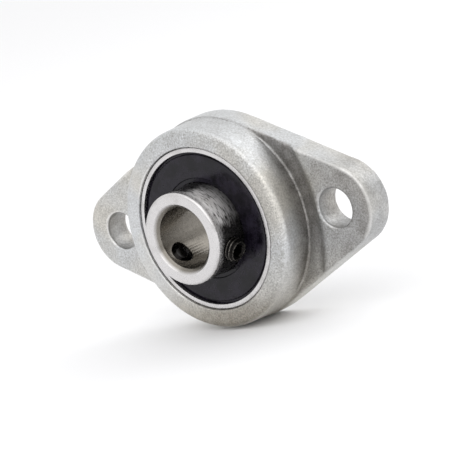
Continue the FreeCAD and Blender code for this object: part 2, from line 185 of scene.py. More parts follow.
def linear(code):
    """Turn an sRGB hex code into linear red, green and blue."""
    parts = [int(code[at : at + 2], 16) / 255 for at in (1, 3, 5)]
    return tuple(part / 12.92 if part <= 0.04045 else ((part + 0.055) / 1.055) ** 2.4 for part in parts)


def per_mm(size):
    """The scale of a pattern whose features measure size millimetres."""
    return 1 / (size * MM)


def colour_setting(name, code, description):
    """A colour that a user may change, given as an sRGB hex code."""
    return FloatVectorProperty(
        name=name, description=description, subtype="COLOR", min=0.0, max=1.0, default=linear(code)
    )


def length_setting(name, size, description):
    """A length that a user may change, given in millimetres."""
    return FloatProperty(
        name=name, description=description, unit="LENGTH", min=0.0, precision=5, default=size * MM
    )


def angle_setting(name, degrees, description):
    """An angle that a user may change, given in degrees."""
    return FloatProperty(
        name=name, description=description, subtype="ANGLE", default=math.radians(degrees)
    )


def share_setting(name, share, description):
    """A share from 0 to 1 that a user may change."""
    return FloatProperty(
        name=name, description=description, subtype="FACTOR", min=0.0, max=1.0, default=share
    )


def count_setting(name, count, description):
    """A whole number that a user may change."""
    return IntProperty(name=name, description=description, min=0, default=count)


class BearingCasting(bpy.types.PropertyGroup):
    """Sizes and colours of the cast housing."""

    grid: length_setting("Grid", 0.18, "Spacing of the casting's mesh")
    rub_passes: count_setting("Rubbing", 4, "Smoothing passes that round off the edges")
    corner_share: share_setting("Corner fill", 0.15, "Share of the rubbing that fills the inside corners")
    step_radius: length_setting("Step radius", 23.5, "Radius of the step from the groove up to the ear's pad")
    step_reach: length_setting("Step reach", 15.35, "Distance of that step from the bore axis")
    step_passes: count_setting("Step rubbing", 24, "Smoothing passes that soften that step")
    skin_depth: length_setting("Skin depth", 0.03, "Depth of the waves in the cast skin")
    skin_span: length_setting("Skin span", 3.0, "Distance from wave to wave in the cast skin")
    flash_height: length_setting("Flash height", 0.06, "Mean height of the flash at the foot of the boss")
    flash_width: length_setting("Flash width", 0.05, "Width of the flash where it stands on the flange")
    foot_height: length_setting("Foot height", 3.34, "Height of the foot of the boss over the mounting face")
    foot_radius: length_setting("Foot radius", 13.35, "Radius of the boss at its foot")
    # The mouth's grease is a painted shadow line in the gap round the outer ring
    mouth_radius: length_setting("Mouth radius", 10.66, "Radius of the seat's mouth, which holds grease")
    # The flank's film is also painted shade on the boss's sides towards the ears
    flank_film_and_shade: length_setting("Flank film", 3.6, "Height that the film climbs up the boss")
    low_start: length_setting("Low start", 4.0, "Depth under the bore axis at which the warm colours begin")
    low_full: length_setting("Low full", 11.0, "Depth under the bore axis at which they are full")
    bolt_spacing: length_setting("Bolt spacing", 37.0, "Distance between the bolt holes")
    bolt_hole: length_setting("Bolt hole", 5.0, "Diameter of the bolt holes")
    metal: colour_setting("Zinc", "#dadcde", "Colour of the cast zinc")
    warm_metal: colour_setting("Warm zinc", "#dddad3", "Colour of the zinc in its warm patches")
    pepper: colour_setting("Grain", "#93918d", "Colour of the dark grain in the skin")
    # Also the colour of the painted highlights along the casting's edges
    worn: colour_setting("Worn zinc", "#ebeae8", "Colour of the zinc where edges are rubbed")
    # The film colours are also the colours of painted shade in the corners, bolt holes and on the right ear
    stain: colour_setting("Film", "#93918f", "Colour of the film left in corners")
    warm_stain_and_shade: colour_setting("Warm film", "#8f8470", "Colour of the film low down, where oil collects")
    dark_stain_and_shade: colour_setting("Dark film", "#65625f", "Colour of the film in the grain of the skin")
    # Colour of the painted shadow line in the seat's mouth
    grease: colour_setting("Grease", "#45423d", "Colour of the grease in the seat's mouth")


class BearingInsert(bpy.types.PropertyGroup):
    """Sizes and colours of the bearing insert."""

    ring_edge: length_setting("Ring edge", 0.05, "Width of the broken edges of the rings")
    corner_share: share_setting(
        "Corner share", 0.6, "Share by which the outer ring's corner chamfers are narrowed"
    )
    seal_edge: length_setting("Seal edge", 0.12, "Radius of the rounded edges of the seals")
    channel: length_setting("Channel", 0.55, "Width of the channel between a seal's face and its rim")
    channel_depth: length_setting("Channel depth", 0.25, "Depth of that channel under the seal's face")
    dish: length_setting("Dish", 0.04, "Depth to which a seal's face is dished")
    steel: colour_setting("Steel", "#d3d1d1", "Colour of the ground steel")
    # The film colour is also the colour of the painted shade inside the bore
    steel_film_and_shade: colour_setting("Steel film", "#6f695e", "Colour of the oil film on the steel")
    # The collar's grease is also a painted reflection of the dark seal, left off on the side where the
    # highlight falls
    grease: colour_setting("Grease", "#211e1c", "Colour of the grease on the collar")
    grease_and_shade_start: length_setting("Grease start", 11.8, "Height on the collar at which the grease begins")
    grease_and_shade_full: length_setting("Grease full", 10.5, "Height on the collar under which the grease is full")
    grease_and_shade_inside: length_setting("Grease inside", 5.7, "Radius at which the collar's grease begins")
    grease_and_shade_outside: length_setting("Grease outside", 6.4, "Radius at which the collar's grease ends")
    grease_and_shade_fade: length_setting("Grease fade", 0.2, "Width over which the grease thins at those radii")
    grease_and_shade_most: share_setting("Grease most", 0.92, "Share of the steel's colour that full grease hides")
    highlight_side: angle_setting("Wiped side", 40.0, "Turn round the collar to the side wiped clean of grease")
    highlight_full: length_setting("Wiped full", 11.0, "Height on the collar over which that side is wiped most")
    highlight_end: length_setting("Wiped end", 7.6, "Height on the collar under which it is wiped least")
    # The bore's oil film is also painted shade inside the bore
    film_and_shade_start: length_setting("Film start", 4.25, "Radius inside which the bore's oil film is full")
    film_and_shade_end: length_setting("Film end", 4.6, "Radius outside which the bore's oil film ends")
    rubber: colour_setting("Rubber", "#0b090f", "Colour of the seals")
    rubber_dust: colour_setting("Rubber dust", "#24202b", "Colour of the dust on the seals")
    cage: colour_setting("Cage", "#b7b2a6", "Colour of the pressed cage")
    ball: colour_setting("Ball", "#d8d8d8", "Colour of the balls")


class BearingScrews(bpy.types.PropertyGroup):
    """Sizes and colours of the set screws."""

    pitch: length_setting("Pitch", 0.5, "Pitch of the thread")
    depth: length_setting("Thread depth", 0.27, "Depth of the thread")
    socket: length_setting("Socket", 1.5, "Width of the hexagon socket across its flats")
    socket_depth: length_setting("Socket depth", 1.4, "Depth of the hexagon socket")
    lead: length_setting("Lead-in", 0.25, "Width of the cone round the socket's corners")
    cup: length_setting("Cup", 1.5, "Diameter of the cup point")
    cup_depth: length_setting("Cup depth", 0.35, "Depth of the cup point")
    edge: length_setting("Edge", 0.2, "Width of the chamfer at the socket's end")
    oxide: colour_setting("Black oxide", "#1d1b1a", "Colour of the blackened steel")
    # Also the colour of the painted highlights on the screw's rims and crests
    worn: colour_setting("Worn oxide", "#a39e96", "Colour of the steel where the black is rubbed off")


class BearingStage(bpy.types.PropertyGroup):
    """Floor, light and camera."""

    floor_drop: length_setting("Floor drop", 13.56, "Depth of the floor under the bore axis")
    floor_size: length_setting("Floor size", 6000.0, "Width of the floor")
    floor: colour_setting("Floor", "#f2f2f3", "Colour of the floor")
    tent: colour_setting("Tent", "#ffffff", "Colour of the light all round")
    aim: FloatVectorProperty(
        name="Aim",
        description="Point at the middle of the picture",
        subtype="TRANSLATION",
        unit="LENGTH",
        default=(-1.761 * MM, -1.931 * MM, -1.097 * MM),
    )
    distance: length_setting("Distance", 284.0, "Distance of the camera from its aim")
    azimuth: angle_setting("Azimuth", 43.5, "Turn of the camera to the right of the front")
    elevation: angle_setting("Elevation", 9.648, "Height of the camera over the horizon")
    roll: angle_setting("Roll", 15.05, "Lean of the camera about its own axis")
    lens: FloatProperty(
        name="Lens",
        description="Focal length on a 36 mm wide sensor",
        subtype="DISTANCE_CAMERA",
        default=176.9,
    )


def add_node(tree, kind, inputs, output=0, **settings):
    """Add a shader node and return one of its outputs.

    Inputs maps a socket's name or number to a value, a setting's colour or another node's output.
    """
    node = tree.nodes.new(f"ShaderNode{kind}")
    for name, value in settings.items():
        setattr(node, name, value)
    for key, value in inputs.items():
        if isinstance(value, bpy.types.NodeSocket):
            tree.links.new(value, node.inputs[key])
        else:
            node.inputs[key].default_value = (*value, 1.0) if isinstance(value, Color) else value
    return node.outputs[output] if node.outputs else None


def start_material(name):
    """A new material with an empty tree, that tree, and the place on the object for its patterns."""
    material = bpy.data.materials.new(name)
    material.use_nodes = True
    tree = material.node_tree
    tree.nodes.clear()
    return material, tree, add_node(tree, "TexCoord", {}, "Object")


def finish_material(material, inputs):
    """Close a material with its surface shader."""
    surface = add_node(material.node_tree, "BsdfPrincipled", inputs)
    add_node(material.node_tree, "OutputMaterial", {"Surface": surface})
    return material


def die_cast_zinc(look):
    """Zinc alloy, die cast and put through a tumbler.

    The eye sees a satin light grey with a fine dark grain from the tumbling, thinner on the sides
    and the left side, which paints them lighter; soft patches of warm and cool grey; edges polished
    bright and smooth in stretches, which also paints highlights on them; a brown film in the corners
    and on the right ear, which is also painted shade; a front that is darker towards the bottom; and
    a thin dark line of painted shade in the seat's mouth.
    """
    material, tree, place = start_material("die_cast_zinc")
    edge, tumbled, grime, grease = (
        add_node(tree, "Attribute", {}, "Fac", attribute_name=name)
        for name in ("edge", "tumbled", "grime", "grease")
    )
    grain = add_node(
        tree, "TexNoise", {"Vector": place, "Scale": per_mm(0.24), "Detail": 3.0, "Roughness": 0.7}
    )
    patches = add_node(tree, "TexNoise", {"Vector": place, "Scale": per_mm(1.8), "Detail": 4.0})
    clouds = add_node(tree, "TexNoise", {"Vector": place, "Scale": per_mm(9.0), "Detail": 2.0})

    level = add_node(tree, "SeparateXYZ", {"Vector": place}, "Z")
    low = add_node(
        tree, "MapRange", {"Value": level, "From Min": -look.low_start, "From Max": -look.low_full}
    )
    warm_patches = add_node(tree, "MapRange", {"Value": clouds, "From Min": 0.45, "From Max": 0.65})
    warmth = add_node(tree, "Math", {0: warm_patches, 1: low}, operation="MAXIMUM")
    tint = add_node(tree, "Mix", {0: warmth, MIX_A: look.metal, MIX_B: look.warm_metal}, **COLOUR_MIX)
    mottle = add_node(tree, "Math", {0: patches, 1: PATCH_SHARE, 2: grain}, operation="MULTIPLY_ADD")
    grains = add_node(tree, "MapRange", {"Value": mottle, "From Min": 0.43, "From Max": 0.84})
    # The grain is thinned on the sides and on the left side, which paints them lighter
    peppered = add_node(tree, "Math", {0: grains, 1: tumbled}, operation="MULTIPLY")
    skin = add_node(tree, "Mix", {0: peppered, MIX_A: tint, MIX_B: look.pepper}, **COLOUR_MIX)

    broken = add_node(
        tree,
        "MapRange",
        {"Value": patches, "From Min": 0.3, "From Max": 0.6, "To Min": 0.75, "To Max": 1.0},
    )
    # Film and painted shade: darkens the corners, bolt holes, boss sides and right ear towards the film's
    # colour
    film = add_node(tree, "Math", {0: grime, 1: broken}, operation="MULTIPLY")
    film_and_shade_tint = add_node(tree, "Mix", {0: low, MIX_A: look.stain, MIX_B: look.warm_stain_and_shade}, **COLOUR_MIX)
    dirt_and_shade = add_node(tree, "Mix", {0: grains, MIX_A: film_and_shade_tint, MIX_B: look.dark_stain_and_shade}, **COLOUR_MIX)
    stained_and_shaded = add_node(tree, "Mix", {0: film, MIX_A: skin, MIX_B: dirt_and_shade}, **COLOUR_MIX)

    # Edges lighter and smoother in stretches: partly polish from tumbling, partly a painted highlight
    stretches = add_node(tree, "MapRange", {"Value": clouds, "From Min": 0.3, "From Max": 0.55})
    rub = add_node(tree, "Math", {0: edge, 1: stretches}, operation="MULTIPLY")
    patchy_rub = add_node(tree, "Math", {0: rub, 1: patches}, operation="MULTIPLY")
    rubbed_and_highlit = add_node(tree, "MapRange", {"Value": patchy_rub, "From Min": 0.09, "From Max": 0.36})
    worn = add_node(tree, "Mix", {0: rubbed_and_highlit, MIX_A: stained_and_shaded, MIX_B: look.worn}, **COLOUR_MIX)
    # Painted shadow: a dark line laid in the gap at the seat's mouth
    colour = add_node(tree, "Mix", {0: grease, MIX_A: worn, MIX_B: look.grease}, **COLOUR_MIX)

    satin = add_node(
        tree, "MapRange", {"Value": grain, "From Min": 0.3, "From Max": 0.7, "To Min": 0.38, "To Max": 0.52}
    )
    burnished = add_node(tree, "Math", {0: rubbed_and_highlit, 1: BURNISH, 2: satin}, operation="MULTIPLY_ADD")
    bump = add_node(tree, "Bump", {"Height": grain, "Strength": 0.85, "Distance": 0.04 * MM})
    return finish_material(
        material, {"Base Color": colour, "Metallic": 1.0, "Roughness": burnished, "Normal": bump}
    )


def collar_grease_and_shade(tree, look, place, level, radius):
    """Shares of grease with painted shade, and of bare steel, on the collar's side.

    The grease, which is also a painted reflection of the dark seal, is left off in fine streaks on the side
    where the highlight falls, and less so towards the seal.
    """
    greased_and_shaded = add_node(
        tree,
        "MapRange",
        {"Value": level, "From Min": -look.grease_and_shade_start, "From Max": -look.grease_and_shade_full},
        interpolation_type="SMOOTHSTEP",
    )
    inside = (look.grease_and_shade_inside, look.grease_and_shade_inside + look.grease_and_shade_fade, look.grease_and_shade_most)
    outside = (look.grease_and_shade_outside, look.grease_and_shade_outside - look.grease_and_shade_fade, 1.0)
    for start, full, most in (inside, outside):
        limit = add_node(
            tree, "MapRange", {"Value": radius, "From Min": start, "From Max": full, "To Max": most}
        )
        greased_and_shaded = add_node(tree, "Math", {0: greased_and_shaded, 1: limit}, operation="MULTIPLY")
    wiped_way = (math.cos(look.highlight_side), 0.0, math.sin(look.highlight_side))
    side = add_node(tree, "VectorMath", {0: place, 1: wiped_way}, "Value", operation="DOT_PRODUCT")
    facing = add_node(tree, "Math", {0: side, 1: radius}, operation="DIVIDE")
    drawn_out = add_node(tree, "VectorMath", {0: place, 1: STREAK_SHAPE}, operation="MULTIPLY")
    streaks = add_node(
        tree, "TexNoise", {"Vector": drawn_out, "Scale": per_mm(1.0), "Detail": 3.0, "Roughness": 0.65}
    )
    ragged = add_node(tree, "Math", {0: streaks, 1: STREAK_SHARE, 2: facing}, operation="MULTIPLY_ADD")
    # Bare steel in streaks on the side where the highlight falls
    wiped = add_node(
        tree,
        "MapRange",
        {"Value": ragged, "From Min": 1.0, "From Max": 1.16},
        interpolation_type="SMOOTHSTEP",
    )
    clean = add_node(tree, "MapRange", {"Value": streaks, "From Min": 0.36, "From Max": 0.5})
    fading = add_node(
        tree,
        "MapRange",
        {
            "Value": level,
            "From Min": -look.highlight_full,
            "From Max": -look.highlight_end,
            "To Min": 1.0,
            "To Max": 0.3,
        },
    )
    bare = greased_and_shaded
    for limit in (wiped, clean, fading):
        bare = add_node(tree, "Math", {0: bare, 1: limit}, operation="MULTIPLY")
    grease = add_node(tree, "Math", {0: greased_and_shaded, 1: bare}, operation="SUBTRACT")
    return grease, bare


def ground_steel(look):
    """Bearing steel, hardened and ground.

    The eye sees a bright grey with fine lines round the bore that draw its highlights out across
    them, small scuffs, a thin brown film of oil, thickest inside the bore, where it is also painted
    shade, and dark grease on the side of the collar, which is also a painted reflection of the dark
    seal and is left off in streaks on the side where the highlight falls. Grinding lines are under
    0.05 mm apart, so they are drawn at 0.12 mm to show.
    """
    material, tree, place = start_material("ground_bearing_steel")
    across = add_node(tree, "VectorMath", {0: place, 1: ACROSS_BORE}, operation="MULTIPLY")
    radius = add_node(tree, "VectorMath", {0: across}, "Value", operation="LENGTH")
    level = add_node(tree, "SeparateXYZ", {"Vector": place}, "Y")
    section = add_node(tree, "CombineXYZ", {"X": radius, "Y": level})
    lines = add_node(tree, "TexNoise", {"Vector": section, "Scale": per_mm(0.12), "Detail": 2.0})
    scuffs = add_node(
        tree, "TexNoise", {"Vector": place, "Scale": per_mm(0.4), "Detail": 5.0, "Roughness": 0.7}
    )
    blots = add_node(tree, "TexNoise", {"Vector": place, "Scale": per_mm(2.6), "Detail": 4.0})
    thin_film = add_node(
        tree, "MapRange", {"Value": blots, "From Min": 0.52, "From Max": 0.75, "To Max": 0.3}
    )
    # Painted shade: the oil film darkens the inside of the bore
    bore_film_and_shade = add_node(
        tree,
        "MapRange",
        {"Value": radius, "From Min": look.film_and_shade_end, "From Max": look.film_and_shade_start, "To Max": 0.85},
    )
    film = add_node(tree, "Math", {0: thin_film, 1: bore_film_and_shade}, operation="MAXIMUM")
    oiled_and_shaded = add_node(tree, "Mix", {0: film, MIX_A: look.steel, MIX_B: look.steel_film_and_shade}, **COLOUR_MIX)
    grease, bare = collar_grease_and_shade(tree, look, place, level, radius)
    # Grease colour, which on the collar is also a painted reflection of the dark seal
    colour = add_node(tree, "Mix", {0: grease, MIX_A: oiled_and_shaded, MIX_B: look.grease}, **COLOUR_MIX)
    gloss = add_node(
        tree, "MapRange", {"Value": scuffs, "From Min": 0.35, "From Max": 0.7, "To Min": 0.2, "To Max": 0.34}
    )
    rough = add_node(tree, "Math", {0: bare, 1: BARE_ROUGHNESS, 2: gloss}, operation="MULTIPLY_ADD")
    marks = add_node(tree, "Math", {0: scuffs, 1: SCUFF_SHARE, 2: lines}, operation="MULTIPLY_ADD")
    bump = add_node(tree, "Bump", {"Height": marks, "Strength": 0.2, "Distance": 0.01 * MM})
    round_bore = add_node(tree, "Tangent", {}, direction_type="RADIAL", axis="Y")
    return finish_material(
        material,
        {
            "Base Color": colour,
            "Metallic": 1.0,
            "Roughness": rough,
            "Anisotropic": 0.85,
            "Anisotropic Rotation": 0.25,
            "Tangent": round_bore,
            "Normal": bump,
        },
    )


def nitrile_rubber(look):
    """Nitrile rubber, moulded.

    The eye sees a soft black with a dull sheen, a little dust and the grain of the mould.
    """
    material, tree, place = start_material("nitrile_rubber")
    grain = add_node(tree, "TexNoise", {"Vector": place, "Scale": per_mm(0.5), "Detail": 3.0})
    dust = add_node(
        tree, "TexNoise", {"Vector": place, "Scale": per_mm(2.0), "Detail": 6.0, "Roughness": 0.7}
    )
    spread = add_node(tree, "MapRange", {"Value": dust, "From Min": 0.4, "From Max": 0.7})
    colour = add_node(tree, "Mix", {0: spread, MIX_A: look.rubber, MIX_B: look.rubber_dust}, **COLOUR_MIX)
    rough = add_node(
        tree, "MapRange", {"Value": dust, "From Min": 0.3, "From Max": 0.7, "To Min": 0.12, "To Max": 0.28}
    )
    bump = add_node(tree, "Bump", {"Height": grain, "Strength": 0.6, "Distance": 0.03 * MM})
    return finish_material(
        material,
        {"Base Color": colour, "Roughness": rough, "IOR": 1.52, "Specular IOR Level": 0.26, "Normal": bump},
    )


def pressed_steel(look):
    """Cold rolled strip, pressed into the cage: grey, a little dull, with fine draw marks."""
    material, tree, place = start_material("pressed_steel")
    marks = add_node(tree, "TexNoise", {"Vector": place, "Scale": per_mm(0.25), "Detail": 4.0})
    rough = add_node(
        tree, "MapRange", {"Value": marks, "From Min": 0.3, "From Max": 0.7, "To Min": 0.3, "To Max": 0.5}
    )
    bump = add_node(tree, "Bump", {"Height": marks, "Strength": 0.25, "Distance": 0.01 * MM})
    return finish_material(
        material, {"Base Color": look.cage, "Metallic": 1.0, "Roughness": rough, "Normal": bump}
    )


def polished_steel(look):
    """Bearing steel, lapped into balls: a mirror with the thinnest film of grease."""
    material, tree, place = start_material("polished_ball_steel")
    grease = add_node(tree, "TexNoise", {"Vector": place, "Scale": per_mm(1.2), "Detail": 2.0})
    rough = add_node(
        tree, "MapRange", {"Value": grease, "From Min": 0.4, "From Max": 0.7, "To Min": 0.05, "To Max": 0.16}
    )
    return finish_material(material, {"Base Color": look.ball, "Metallic": 1.0, "Roughness": rough})


def black_oxide(look):
    """Alloy steel, hardened and blackened.

    The eye sees an oily black with a low gloss, bared to grey steel along its edges, which also paints
    highlights on its rims and crests.
    """
    material, tree, place = start_material("black_oxide_steel")
    edge = add_node(tree, "Attribute", {}, "Fac", attribute_name="edge")
    mottle = add_node(tree, "TexNoise", {"Vector": place, "Scale": per_mm(0.4), "Detail": 4.0})
    rub = add_node(tree, "Math", {0: edge, 1: mottle}, operation="MULTIPLY")
    rubbed_and_highlit = add_node(tree, "MapRange", {"Value": rub, "From Min": 0.2, "From Max": 0.5})
    colour = add_node(tree, "Mix", {0: rubbed_and_highlit, MIX_A: look.oxide, MIX_B: look.worn}, **COLOUR_MIX)
    rough = add_node(
        tree, "MapRange", {"Value": mottle, "From Min": 0.3, "From Max": 0.7, "To Min": 0.2, "To Max": 0.36}
    )
    return finish_material(material, {"Base Color": colour, "Metallic": 0.9, "Roughness": rough})


def paint(mesh, material):
    """Give a mesh one finish all over."""
    mesh.materials.clear()
    mesh.materials.append(material)


def new_piece(name, mesh, body, material, nodes=()):
    """Show a mesh as a piece that rides on a body, in place of any CAD nodes named."""
    piece = bpy.data.objects.new(name, mesh)
    bpy.context.scene.collection.objects.link(piece)
    paint(mesh, material)
    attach(piece, body)
    if nodes:
        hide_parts(*nodes)


def welded_copy(node):
    """A copy of a CAD node's mesh as one closed skin."""
    mesh = frame["nodes"][node].data.copy()
    mesh.name = f"{node}_skin"
    skin = bmesh.new()
    skin.from_mesh(mesh)
    bmesh.ops.remove_doubles(skin, verts=skin.verts, dist=SAME_PLACE)
    skin.to_mesh(mesh)
    skin.free()
    return mesh


def with_modifiers(mesh, steps):
    """Run a mesh through modifiers, given as (kind, settings), and return the result."""
    worker = bpy.data.objects.new("worker", mesh)
    bpy.context.scene.collection.objects.link(worker)
    for kind, settings in steps:
        modifier = worker.modifiers.new(kind, kind)
        for name, value in settings.items():
            setattr(modifier, name, value)
    shown = worker.evaluated_get(bpy.context.evaluated_depsgraph_get())
    made = bpy.data.meshes.new_from_object(shown)
    bpy.data.objects.remove(worker)
    return made


def join_rings(skin, rings):
    """Join each closed ring of vertices to the next one with faces."""
    for ring, following in zip(rings, rings[1:]):
        for at in range(len(ring)):
            to = (at + 1) % len(ring)
            skin.faces.new((ring[at], ring[to], following[to], following[at]))


def closed_mesh(skin, name):
    """Turn the faces of a closed skin outwards and make it a mesh."""
    bmesh.ops.recalc_face_normals(skin, faces=skin.faces)
    mesh = bpy.data.meshes.new(name)
    skin.to_mesh(mesh)
    skin.free()
    return mesh


def vertex_vectors(mesh, name):
    """The places or normals of a mesh's vertices, one row each."""
    rows = np.empty(len(mesh.vertices) * 3)
    mesh.vertices.foreach_get(name, rows)
    return rows.reshape(-1, 3)


def move_vertices(mesh, places):
    """Put the vertices of a mesh at new places."""
    mesh.vertices.foreach_set("co", places.ravel())
    mesh.update()


def store_values(mesh, name, values):
    """Store a number for each vertex, for the materials to read."""
    mesh.attributes.new(name, "FLOAT", "POINT").data.foreach_set("value", values)


class Neighbours:
    """The edges of a mesh, for taking means over each vertex's neighbours."""

    def __init__(self, mesh):
        ends = np.empty(len(mesh.edges) * 2, np.int32)
        mesh.edges.foreach_get("vertices", ends)
        ends = ends.reshape(-1, 2)
        self.ways = np.concatenate([ends, ends[:, ::-1]])
        self.count = np.bincount(self.ways[:, 0], minlength=len(mesh.vertices))

    def mean(self, values):
        """The mean of a number over each vertex's neighbours."""
        sums = np.bincount(self.ways[:, 0], weights=values[self.ways[:, 1]], minlength=len(self.count))
        return sums / self.count

    def mean_place(self, places):
        """The mean place of each vertex's neighbours."""
        return np.stack([self.mean(places[:, axis]) for axis in range(3)], axis=1)


def fade(values, start, end):
    """1 up to start, 0 from end on, and a smooth slope between them."""
    share = np.clip((end - values) / (end - start), 0.0, 1.0)
    return share * share * (3.0 - 2.0 * share)


def rise(values, start, end):
    """0 up to start, 1 from end on, and a smooth slope between them."""
    return fade(-values, -end, -start)


def from_least(least, shares):
    """Lift shares that run from 0 to 1 so that they run from a least share to 1."""
    return least + (1.0 - least) * shares


def rub_edges(mesh, passes, corner_share):
    """Round off the edges of a mesh; its corners fill by a share of what smoothing would fill."""
    around = Neighbours(mesh)
    normals = vertex_vectors(mesh, "normal")
    before = vertex_vectors(mesh, "co")
    places = before.copy()
    for _ in range(passes):
        places += (around.mean_place(places) - places) / 2
    moves = places - before
    filled = (moves * normals).sum(axis=1) > 0
    moves[filled] *= corner_share
    move_vertices(mesh, before + moves)


def past_step(places, look):
    """How far each place lies beyond the step from the groove round the boss up to an ear's pad."""
    centre = look.step_radius - look.step_reach
    return np.hypot(np.abs(places[:, 0]) + centre, places[:, 2]) - look.step_radius


def soften_steps(mesh, look):
    """Draw out the step between the groove round the boss and each ear's pad to a soft slope."""
    around = Neighbours(mesh)
    places = vertex_vectors(mesh, "co")
    x, y, z = places.T
    share = fade(np.abs(past_step(places, look)), *STEP_WIDTH) * rise(-y, *STEP_HEIGHT)
    share *= rise(x**2 + z**2, *(radius**2 for radius in STEP_RADIUS))
    for _ in range(look.step_passes):
        places += (around.mean_place(places) - places) * share[:, None] / 2
    move_vertices(mesh, places)


def mark_edges(mesh):
    """Store how far each vertex stands out of its neighbours, from -1 in a corner to 1 on an edge."""
    around = Neighbours(mesh)
    places = vertex_vectors(mesh, "co")
    normals = vertex_vectors(mesh, "normal")
    bulge = ((places - around.mean_place(places)) * normals).sum(axis=1) / EDGE_REACH
    for _ in range(EDGE_PASSES):
        bulge = (bulge + around.mean(bulge)) / 2
    store_values(mesh, "edge", np.clip(bulge, -1.0, 1.0))


def mark_films_and_shade(mesh, look):
    """Store the casting's film of oil and dust with its painted shade, its grain with its painted light, and
    the painted shadow line in the seat's mouth.

    The film is thick in the groove round the boss and on the boss beside the ears, and thin in the
    bolt holes; in all three it is also painted shade. It is thin on the right ear, where it is
    painted shade, and the front is darker towards the bottom of the boss. The grain is full on the
    front and back and weaker on the sides, and the grain and the mouth's shadow line are weaker on
    the left side, which paints the sides and the left side lighter.
    """
    places = vertex_vectors(mesh, "co")
    x, y, z = places.T
    tilt = vertex_vectors(mesh, "normal")[:, 1]
    radius = np.hypot(x, z)
    height = -y
    over_foot = height - look.foot_height
    front = fade(tilt, *FRONT_TILT)

    # Film that is also painted shade, in the groove that the boss shades and on the boss's sides towards the
    # ears
    groove = front * fade(past_step(places, look), *GROOVE_SIDE) * fade(over_foot, *GROOVE_TOP)
    groove *= from_least(GROOVE_LEAST, rise(z, *GROOVE_LOW))
    flank = fade(np.abs(radius - look.foot_radius), *BOSS_SIDE)
    flank *= fade(over_foot, 0.0, look.flank_film_and_shade) * rise(over_foot, *FLANK_FOOT)
    flank *= from_least(FLANK_LEAST, rise(np.abs(x) / np.maximum(radius, MM), *FLANK_EARS))
    # Film and painted shade on the walls of the bolt holes
    off_wall = np.hypot(np.abs(x) - look.bolt_spacing / 2, z) - look.bolt_hole / 2
    wall = HOLE_FILM_AND_SHADE * fade(off_wall, *HOLE_WALL)
    # Painted shade on the right ear's pad, and film with painted shade round its end
    ear = EAR_SHADE * front * fade(height, *EAR_HEIGHT) * rise(x, *EAR_REACH)
    # Darker towards the bottom of the front of the casting
    run = LOW_FRONT_DARKENING * front * fade(z, *RUN_LEVEL)
    end = END_FILM_AND_SHADE * rise(x, *END_REACH)
    store_values(mesh, "grime", np.max((groove, flank, wall, ear, run, end), axis=0))

    # Painted light: the grain is thinned on the sides and on the left side, which lightens them
    lit_left_side = fade(x, *LIT_LEFT_SIDE)
    lightened = lit_left_side * (LIT_SIDE_GRAIN + LIT_BOSS_GRAIN * rise(height, *BOSS_HEIGHT))
    tumbled = from_least(GRAIN_LEAST, rise(np.abs(tilt), *GRAIN_TILT))
    store_values(mesh, "tumbled", tumbled * (1.0 - lightened))

    # Painted shadow: a dark line in the gap at the seat's mouth, thinner on the left side
    mouth = fade(np.abs(radius - look.mouth_radius), *MOUTH_WIDTH) * (1.0 - LIT_SIDE_MOUTH * lit_left_side)
    store_values(mesh, "grease", mouth * rise(height, *MOUTH_HEIGHT))


class BEARING_OT_housing(bpy.types.Operator):
    """Remesh the cast housing evenly, rub its edges round and give it a cast skin"""

    bl_idname = "bearing.housing"
    bl_label = "Housing"

    def execute(self, context):
        look = context.scene.bearing_casting
        skin = bpy.data.textures.new("cast_skin", "CLOUDS")
        skin.noise_scale = look.skin_span
        even = [
            ("REMESH", {"mode": "VOXEL", "voxel_size": look.grid, "use_smooth_shade": True}),
            ("SHRINKWRAP", {"target": frame["nodes"]["housing"]}),
        ]
        sunk = {"texture": skin, "strength": look.skin_depth, "mid_level": 1.0, "texture_coords": "LOCAL"}
        mesh = with_modifiers(welded_copy("housing"), even)
        rub_edges(mesh, look.rub_passes, look.corner_share)
        soften_steps(mesh, look)
        mesh = with_modifiers(mesh, [("DISPLACE", sunk)])
        mesh.set_sharp_from_angle(angle=CASTING_SHARP)
        mark_edges(mesh)
        mark_films_and_shade(mesh, look)
        zinc = die_cast_zinc(look)
        new_piece("housing_casting", mesh, "housing", zinc, ["housing"])
        return {"FINISHED"}


class BEARING_OT_parting_flash(bpy.types.Operator):
    """Raise the thin uneven flash that the die left round the foot of the boss"""

    bl_idname = "bearing.parting_flash"
    bl_label = "Parting flash"

    def execute(self, context):
        look = context.scene.bearing_casting
        inside = look.foot_radius - look.flash_width / 2
        sunk = look.foot_height - look.flash_width / 2
        skin = bmesh.new()
        rings = []
        for step in range(FLASH_STEPS):
            turn = math.tau * step / FLASH_STEPS
            out = Vector((math.cos(turn), 0, math.sin(turn)))
            heavy = FLASH_SIDES + FLASH_TOP * out.z
            lumps = noise.fractal(out * FLASH_LUMPS, *FLASH_NOISE)
            ragged = max(FLASH_LEAST, heavy * (1 + FLASH_RAGGED * lumps))
            outside = look.foot_radius + look.flash_width * (FLASH_SPREAD + FLASH_SPREAD * ragged)
            crest = look.foot_height + look.flash_height * ragged
            section = ((inside, sunk), (inside, crest), (outside, sunk))
            rings.append([skin.verts.new(out * r - Vector((0, height, 0))) for r, height in section])
        join_rings(skin, [*rings, rings[0]])
        mesh = closed_mesh(skin, "parting_flash")
        # Painted shade: the flash is darkened with the film's colour along its length
        store_values(mesh, "grime", np.full(len(mesh.vertices), FLASH_SHADE))
        zinc = bpy.data.materials["die_cast_zinc"]
        new_piece("parting_flash", mesh, "housing", zinc)
        return {"FINISHED"}


